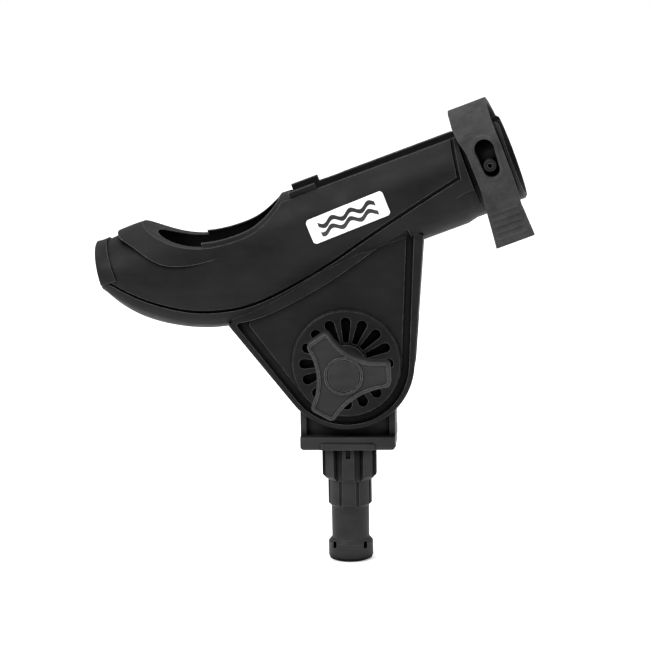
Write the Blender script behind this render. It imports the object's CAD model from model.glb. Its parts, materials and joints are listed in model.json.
"""Rod holder: materials, strap, labels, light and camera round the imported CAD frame."""

import json
import math

import bmesh
import bpy
from mathutils import Matrix, Vector

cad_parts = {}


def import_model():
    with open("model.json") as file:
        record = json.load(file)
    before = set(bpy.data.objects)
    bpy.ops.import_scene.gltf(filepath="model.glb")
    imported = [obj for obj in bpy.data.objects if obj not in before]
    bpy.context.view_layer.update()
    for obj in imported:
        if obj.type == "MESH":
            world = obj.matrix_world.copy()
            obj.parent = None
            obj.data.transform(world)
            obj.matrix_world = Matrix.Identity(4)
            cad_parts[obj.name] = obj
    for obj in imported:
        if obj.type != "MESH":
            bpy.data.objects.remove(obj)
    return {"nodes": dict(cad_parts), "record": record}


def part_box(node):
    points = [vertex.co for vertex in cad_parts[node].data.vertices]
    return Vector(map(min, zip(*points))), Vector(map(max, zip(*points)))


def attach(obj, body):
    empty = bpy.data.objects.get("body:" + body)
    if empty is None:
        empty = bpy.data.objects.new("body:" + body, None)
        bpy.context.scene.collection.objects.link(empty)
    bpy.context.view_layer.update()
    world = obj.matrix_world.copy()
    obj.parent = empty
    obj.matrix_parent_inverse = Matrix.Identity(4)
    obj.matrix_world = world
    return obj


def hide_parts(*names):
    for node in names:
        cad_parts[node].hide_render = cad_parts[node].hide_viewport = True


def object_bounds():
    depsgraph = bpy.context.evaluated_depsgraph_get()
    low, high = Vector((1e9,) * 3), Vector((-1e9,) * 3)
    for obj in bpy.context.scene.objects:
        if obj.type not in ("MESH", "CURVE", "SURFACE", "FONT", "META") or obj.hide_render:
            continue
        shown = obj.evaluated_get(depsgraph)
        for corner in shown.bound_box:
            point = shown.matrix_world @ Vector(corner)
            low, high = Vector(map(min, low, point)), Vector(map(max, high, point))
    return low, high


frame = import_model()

CAD_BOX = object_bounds()
NODES = frame["nodes"]
JOINTS = {joint["name"]: joint for joint in frame["record"]["behaviour"]["joints"]}
PIVOT = Vector(JOINTS["tilt"]["pos_m"])
MM = 0.001


# ---- node helpers --------------------------------------------------------------------------------
NOISE_ROUGHNESS = 0.55
BEVEL_SAMPLES = 6
OCCLUSION_SAMPLES = 8


class Graph:
    """A small helper that adds and links the nodes of one material. Its coordinates are millimetres."""

    def __init__(self, name):
        self.material = bpy.data.materials.new(name)
        self.material.use_nodes = True
        self.tree = self.material.node_tree
        self.tree.nodes.clear()
        self.shader = self.add("ShaderNodeBsdfPrincipled")
        output = self.add("ShaderNodeOutputMaterial")
        self.link(self.shader.outputs[0], output.inputs["Surface"])
        coords = self.add("ShaderNodeTexCoord")
        scale = self.add("ShaderNodeMapping")
        scale.inputs["Scale"].default_value = (1 / MM, 1 / MM, 1 / MM)
        self.link(coords.outputs["Object"], scale.inputs["Vector"])
        self.mm = scale.outputs[0]

    def add(self, kind, **values):
        node = self.tree.nodes.new(kind)
        for key, value in values.items():
            setattr(node, key, value)
        return node

    def link(self, source, target):
        self.tree.links.new(source, target)

    def noise(self, per_mm, detail=3.0, stretch=None):
        """Soft noise from 0 to 1, with per_mm features to the millimetre."""
        vector = self.mm
        if stretch:
            mapping = self.add("ShaderNodeMapping")
            mapping.inputs["Scale"].default_value = stretch
            self.link(vector, mapping.inputs["Vector"])
            vector = mapping.outputs[0]
        node = self.add("ShaderNodeTexNoise")
        node.inputs["Scale"].default_value = per_mm
        node.inputs["Detail"].default_value = detail
        node.inputs["Roughness"].default_value = NOISE_ROUGHNESS
        self.link(vector, node.inputs["Vector"])
        return node.outputs[0]

    def span(self, value, low, high, to_low=0.0, to_high=1.0):
        """The value carried from low ... high to to_low ... to_high, and held at the ends."""
        node = self.add("ShaderNodeMapRange")
        node.inputs["From Min"].default_value = low
        node.inputs["From Max"].default_value = high
        node.inputs["To Min"].default_value = to_low
        node.inputs["To Max"].default_value = to_high
        self.link(value, node.inputs["Value"])
        return node.outputs[0]

    def math(self, operation, first, second=0.0):
        node = self.add("ShaderNodeMath", operation=operation)
        for socket, value in zip(node.inputs, (first, second)):
            if isinstance(value, (int, float)):
                socket.default_value = value
            else:
                self.link(value, socket)
        return node.outputs[0]

    def mix(self, factor, first, second):
        """A colour between the first, at factor 0, and the second, at 1."""
        node = self.add("ShaderNodeMix", data_type="RGBA")
        self.link(factor, node.inputs[0])
        for socket, value in zip((node.inputs[6], node.inputs[7]), (first, second)):
            if isinstance(value, tuple):
                socket.default_value = (*value, 1.0)
            else:
                self.link(value, socket)
        return node.outputs[2]

    def soft_edges(self, radius_mm):
        """A normal that rounds every edge by the radius."""
        node = self.add("ShaderNodeBevel", samples=BEVEL_SAMPLES)
        node.inputs["Radius"].default_value = radius_mm * MM
        return node.outputs[0]

    def edge_mask(self, radius_mm, sharpness):
        """1 on outer and inner edges, 0 on open faces."""
        rounded = self.soft_edges(radius_mm)
        true = self.add("ShaderNodeNewGeometry")
        dot = self.add("ShaderNodeVectorMath", operation="DOT_PRODUCT")
        self.link(rounded, dot.inputs[0])
        self.link(true.outputs["Normal"], dot.inputs[1])
        return self.span(dot.outputs["Value"], 1.0, sharpness)

    def openness(self, reach_mm, low, high):
        """0 deep in a pocket or a groove, 1 where nothing is near."""
        node = self.add("ShaderNodeAmbientOcclusion", samples=OCCLUSION_SAMPLES)
        node.inputs["Distance"].default_value = reach_mm * MM
        return self.span(node.outputs["AO"], low, high)

    def bump(self, height, depth_mm, normal=None):
        node = self.add("ShaderNodeBump")
        node.inputs["Strength"].default_value = 1.0
        node.inputs["Distance"].default_value = depth_mm * MM
        self.link(height, node.inputs["Height"])
        if normal is not None:
            self.link(normal, node.inputs["Normal"])
        return node.outputs[0]

    def finish(self, colour, roughness, normal):
        self.link(colour, self.shader.inputs["Base Color"])
        self.link(roughness, self.shader.inputs["Roughness"])
        self.link(normal, self.shader.inputs["Normal"])
        return self.material


def grey(value, blue=0.0):
    """A neutral colour, a little bluer by the second number."""
    return (value, value, value + blue)


# ---- moulded plastic -----------------------------------------------------------------------------
GRAIN_MM = 0.45                 # size of the mould's grain
GRAIN_DEPTH = 0.012
PLASTIC_SPECULAR = 0.12
RECESS_REACH = 7.0              # a wall nearer than this shades a recess
RECESS_TONE = 0.12              # of the plastic's darker tone
WORN_RADIUS = 0.55              # edges polished by handling
POLISH = 0.12                   # how much smoother they are


def moulded(name, dark, light, worn, rough, edge=0.45):
    """Moulded plastic: fine grain, faint flow marks, softened edges that are a little polished."""
    g = Graph(name)
    blotch = g.noise(0.06, 4.0)
    flow = g.noise(0.25, 3.0, stretch=(0.3, 1.0, 1.0))
    grain = g.noise(1.0 / GRAIN_MM, 2.0)
    tone = g.span(g.math("ADD", blotch, g.math("MULTIPLY", flow, 0.5)), 0.55, 0.95)
    colour = g.mix(tone, dark, light)
    mask = g.edge_mask(WORN_RADIUS, 0.80)
    mask = g.math("MULTIPLY", mask, g.span(g.noise(0.35, 4.0), 0.35, 0.65, 0.35, 1.0))
    colour = g.mix(mask, colour, worn)
    open_air = g.openness(RECESS_REACH, 0.35, 0.9)
    colour = g.mix(open_air, tuple(c * RECESS_TONE for c in dark), colour)
    gloss = g.math("MULTIPLY", open_air, PLASTIC_SPECULAR)
    g.link(gloss, g.shader.inputs["Specular IOR Level"])
    base_rough = g.span(g.noise(0.12, 4.0), 0.3, 0.7, rough[0], rough[1])
    roughness = g.math("SUBTRACT", base_rough, g.math("MULTIPLY", mask, POLISH))
    height = g.math("ADD", grain, g.math("MULTIPLY", g.noise(0.5, 2.0), 0.7))
    return g.finish(colour, roughness, g.bump(height, GRAIN_DEPTH, g.soft_edges(edge)))


def turned_plastic(name, dark, light):
    """Pale plastic with faint rings from the lathe."""
    g = Graph(name)
    rings = g.noise(2.0, 2.0, stretch=(1.0, 6.0, 1.0))
    colour = g.mix(g.span(g.noise(0.2), 0.3, 0.7), dark, light)
    roughness = g.span(rings, 0.3, 0.7, 0.32, 0.45)
    return g.finish(colour, roughness, g.bump(rings, 0.008, g.soft_edges(0.25)))


# ---- metal, rubber and film ----------------------------------------------------------------------
SCRATCH_STRETCH = (1.0, 0.08, 1.0)      # scratches run along Y, the way the metal was drawn


def metal(name, colour, rough):
    """Turned or drawn metal with fine scratches."""
    g = Graph(name)
    g.shader.inputs["Metallic"].default_value = 1.0
    scratch = g.noise(3.0, 3.0, stretch=SCRATCH_STRETCH)
    tint = g.mix(g.span(g.noise(0.3), 0.3, 0.7), tuple(c * 0.82 for c in colour), colour)
    roughness = g.span(scratch, 0.3, 0.7, rough[0], rough[1])
    return g.finish(tint, roughness, g.bump(scratch, 0.006, g.soft_edges(0.2)))


def rubber(name):
    """Dark rubber with a faint dusty bloom and a fine moulded grain."""
    g = Graph(name)
    g.shader.inputs["Specular IOR Level"].default_value = 0.18
    dust = g.math("ADD", g.noise(0.12, 5.0), g.math("MULTIPLY", g.noise(0.8, 4.0), 0.35))
    colour = g.mix(g.span(dust, 0.5, 0.85), grey(0.020, 0.001), grey(0.038, 0.001))
    scuffs = g.math("MULTIPLY", g.edge_mask(0.6, 0.88), 0.5)
    colour = g.mix(scuffs, colour, grey(0.14))
    roughness = g.span(g.noise(0.3, 4.0), 0.3, 0.7, 0.55, 0.75)
    return g.finish(colour, roughness, g.bump(g.noise(2.2, 3.0), 0.02, g.soft_edges(0.3)))


LABEL_SLOPE = 21.7              # degrees above level
WAVE_LENGTH = 9.5               # the printed mark, in millimetres
WAVE_SWING = 1.2
WAVE_HALF_STROKE = 1.15
WAVES = ((1.9, 0.0), (-1.9, 0.9))       # height above the label's middle, and phase
MARK_END = 14.7                 # where the mark stops, from the middle
PRINT_EDGE = 0.1


def label_coords(g):
    """Distances along and up the label, from its middle."""
    low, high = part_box("near_label")
    middle = (low + high) / 2
    turn = g.add("ShaderNodeMapping", vector_type="TEXTURE")
    turn.inputs["Location"].default_value = (middle.x / MM, 0.0, middle.z / MM)
    turn.inputs["Rotation"].default_value = (0.0, -math.radians(LABEL_SLOPE), 0.0)
    g.link(g.mm, turn.inputs["Vector"])
    split = g.add("ShaderNodeSeparateXYZ")
    g.link(turn.outputs[0], split.inputs[0])
    return split.outputs[0], split.outputs[2]


def wave_line(g, along, height, offset, phase):
    """1 on one wavy stroke, 0 off it."""
    angle = g.math("ADD", g.math("MULTIPLY", along, 2 * math.pi / WAVE_LENGTH), phase)
    wave = g.math("MULTIPLY", g.math("SINE", angle), WAVE_SWING)
    distance = g.math("ABSOLUTE", g.math("SUBTRACT", height, g.math("ADD", wave, offset)))
    return g.span(distance, WAVE_HALF_STROKE - PRINT_EDGE, WAVE_HALF_STROKE + PRINT_EDGE, 1.0, 0.0)


def label_film(name):
    """White film printed with a plain double wave."""
    g = Graph(name)
    along, height = label_coords(g)
    upper, lower = [wave_line(g, along, height, offset, phase) for offset, phase in WAVES]
    inside = g.span(g.math("ABSOLUTE", along), MARK_END - PRINT_EDGE, MARK_END + PRINT_EDGE, 1.0, 0.0)
    ink = g.math("MULTIPLY", g.math("MAXIMUM", upper, lower), inside)
    paper = g.mix(g.span(g.noise(0.3, 4.0), 0.3, 0.7), (0.80, 0.81, 0.82), grey(0.9))
    roughness = g.span(g.noise(0.8, 3.0), 0.3, 0.7, 0.25, 0.4)
    normal = g.bump(g.noise(0.4), 0.02, g.soft_edges(0.15))
    return g.finish(g.mix(ink, paper, grey(0.012, 0.001)), roughness, normal)


# ---- which piece is made of what -----------------------------------------------------------------
def assign(material, *nodes):
    for node in nodes:
        materials = NODES[node].data.materials
        materials.clear()
        materials.append(material)


body_plastic = moulded("black_nylon", grey(0.005, 0.0004), grey(0.010, 0.0005), grey(0.14), (0.46, 0.6))
post_plastic = moulded("grey_nylon", grey(0.017, 0.001), grey(0.027, 0.001), grey(0.10), (0.44, 0.58))
knob_plastic = moulded("knob_nylon", grey(0.016, 0.001), grey(0.027, 0.001), grey(0.20), (0.42, 0.56),
                       edge=0.3)
stainless = metal("stainless", (0.62, 0.61, 0.6), (0.2, 0.42))
strap_rubber = rubber("strap_rubber")
assign(body_plastic, "cradle_body", "strap_stud")
assign(post_plastic, "mounting_post", "near_tooth_disc", "far_tooth_disc")
assign(knob_plastic, "knob_body", "knob_cap")
assign(turned_plastic("acetal", (0.55, 0.54, 0.5), (0.68, 0.67, 0.63)), "pivot_sleeve")
assign(stainless, "pivot_bolt", "bolt_washer", "strap_hinge_pin", "strap_pin_clip")
assign(metal("dull_stainless", grey(0.16), (0.35, 0.5)), "knob_washer")
assign(metal("brass_insert", (0.72, 0.53, 0.26), (0.22, 0.4)), "knob_insert")
assign(label_film("label_film"), "near_label", "far_label")


# ---- the strap -----------------------------------------------------------------------------------
STRAP_VOXEL = 0.34 * MM
STRAP_SMOOTHING = 5
UNEVENNESS = 0.3 * MM           # the skin's unevenness
UNEVEN_PATCH = 0.012            # metres from one swell to the next
UNEVEN_ZERO = 0.95              # near 1, so that the skin only sinks inside the drawn strap


def welded_copy(source):
    """A copy of the node's mesh with its faces joined at their corners."""
    mesh = NODES[source].data.copy()
    made = bmesh.new()
    made.from_mesh(mesh)
    bmesh.ops.remove_doubles(made, verts=made.verts, dist=1e-5)
    made.to_mesh(mesh)
    made.free()
    mesh.materials.clear()
    return mesh


def rubber_strap(material):
    """The strap as it is moulded: round edges all over and a skin that isn't quite even."""
    mesh = welded_copy("rod_strap")
    mesh.materials.append(material)
    obj = bpy.data.objects.new("strap_moulding", mesh)
    bpy.context.scene.collection.objects.link(obj)
    skin = obj.modifiers.new("skin", "REMESH")
    skin.mode = "VOXEL"
    skin.voxel_size = STRAP_VOXEL
    skin.use_smooth_shade = True
    soften = obj.modifiers.new("round_edges", "SMOOTH")
    soften.factor = 0.5
    soften.iterations = STRAP_SMOOTHING
    clouds = bpy.data.textures.new("uneven", "CLOUDS")
    clouds.noise_scale = UNEVEN_PATCH
    uneven = obj.modifiers.new("uneven", "DISPLACE")
    uneven.texture = clouds
    uneven.texture_coords = "GLOBAL"
    uneven.strength = UNEVENNESS
    uneven.mid_level = UNEVEN_ZERO
    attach(obj, "strap")
    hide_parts("rod_strap")


rubber_strap(strap_rubber)


# ---- floor and light -----------------------------------------------------------------------------
FLOOR_RADIUS = 12.0
FLOOR_GLOW = 0.34               # keeps the floor white right to the edge of the picture
WORLD_STRENGTH = 0.55
LIGHT_TARGET = PIVOT + Vector((0, 0, 0.04))
LIGHTS = (                      # name, place, width and height in metres, watts
    ("key", (-1.15, -1.0, 1.45), (0.8, 0.8), 33.0),
    ("fill", (1.3, -1.2, 0.7), (0.8, 1.2), 5.5),
    ("top", (0.1, 0.5, 1.7), (1.6, 0.8), 20.0),
)


def floor_paint():
    g = Graph("floor_paint")
    g.shader.inputs["Emission Color"].default_value = (1.0, 1.0, 1.0, 1.0)
    g.shader.inputs["Emission Strength"].default_value = FLOOR_GLOW
    colour = g.mix(g.span(g.noise(0.004), 0.3, 0.7), grey(0.86), grey(0.88))
    roughness = g.span(g.noise(0.01), 0.3, 0.7, 0.8, 0.9)
    return g.finish(colour, roughness, g.bump(g.noise(0.5), 0.02))


def floor():
    """A round floor under the foot."""
    low, _ = CAD_BOX
    mesh = bpy.data.meshes.new("floor")
    made = bmesh.new()
    bmesh.ops.create_circle(made, cap_ends=True, radius=FLOOR_RADIUS, segments=96)
    made.to_mesh(mesh)
    made.free()
    mesh.materials.append(floor_paint())
    obj = bpy.data.objects.new("floor", mesh)
    obj.location = (0.0, 0.0, low.z)
    bpy.context.scene.collection.objects.link(obj)


def light(name, place, size, power):
    """A soft rectangular lamp turned towards the object."""
    data = bpy.data.lights.new(name, "AREA")
    data.shape = "RECTANGLE"
    data.size, data.size_y = size
    data.energy = power
    obj = bpy.data.objects.new(name, data)
    obj.location = place
    obj.rotation_mode = "QUATERNION"
    obj.rotation_quaternion = (LIGHT_TARGET - obj.location).to_track_quat("-Z", "Y")
    bpy.context.scene.collection.objects.link(obj)


def world(strength):
    made = bpy.data.worlds.new("studio")
    made.use_nodes = True
    background = made.node_tree.nodes["Background"]
    background.inputs["Color"].default_value = (1.0, 1.0, 1.0, 1.0)
    background.inputs["Strength"].default_value = strength
    bpy.context.scene.world = made


# ---- camera --------------------------------------------------------------------------------------
PHOTO_AZIMUTH = math.radians(3.5)
PHOTO_ELEVATION = math.radians(12.25)
PHOTO_ROLL = math.radians(1.0)      # the object leans this much anticlockwise in the picture
PHOTO_DISTANCE = 1.8
PHOTO_WIDTH = 0.3185                # what the picture takes in at the pivot
PIVOT_RIGHT = 0.01127               # of the picture's middle
PIVOT_ABOVE = -0.01544
SENSOR_WIDTH = 36.0


def camera():
    """A camera that looks at the object from the photograph's angle."""
    a, e, r = PHOTO_AZIMUTH, PHOTO_ELEVATION, PHOTO_ROLL
    back = Vector((math.sin(a) * math.cos(e), -math.cos(a) * math.cos(e), math.sin(e)))
    level = Vector((math.cos(a), math.sin(a), 0.0))
    upright = back.cross(level)
    right = level * math.cos(r) - upright * math.sin(r)
    up = level * math.sin(r) + upright * math.cos(r)
    target = PIVOT - right * PIVOT_RIGHT - up * PIVOT_ABOVE
    data = bpy.data.cameras.new("camera")
    data.sensor_width = SENSOR_WIDTH
    data.lens = SENSOR_WIDTH * PHOTO_DISTANCE / PHOTO_WIDTH
    data.clip_start, data.clip_end = 0.05, 60.0
    obj = bpy.data.objects.new("camera", data)
    obj.location = target + back * PHOTO_DISTANCE
    obj.rotation_mode = "QUATERNION"
    obj.rotation_quaternion = Matrix((right, up, back)).transposed().to_quaternion()
    bpy.context.scene.collection.objects.link(obj)
    bpy.context.scene.camera = obj


bpy.context.scene.view_settings.view_transform = "Standard"
floor()
world(WORLD_STRENGTH)
for lamp in LIGHTS:
    light(*lamp)
camera()
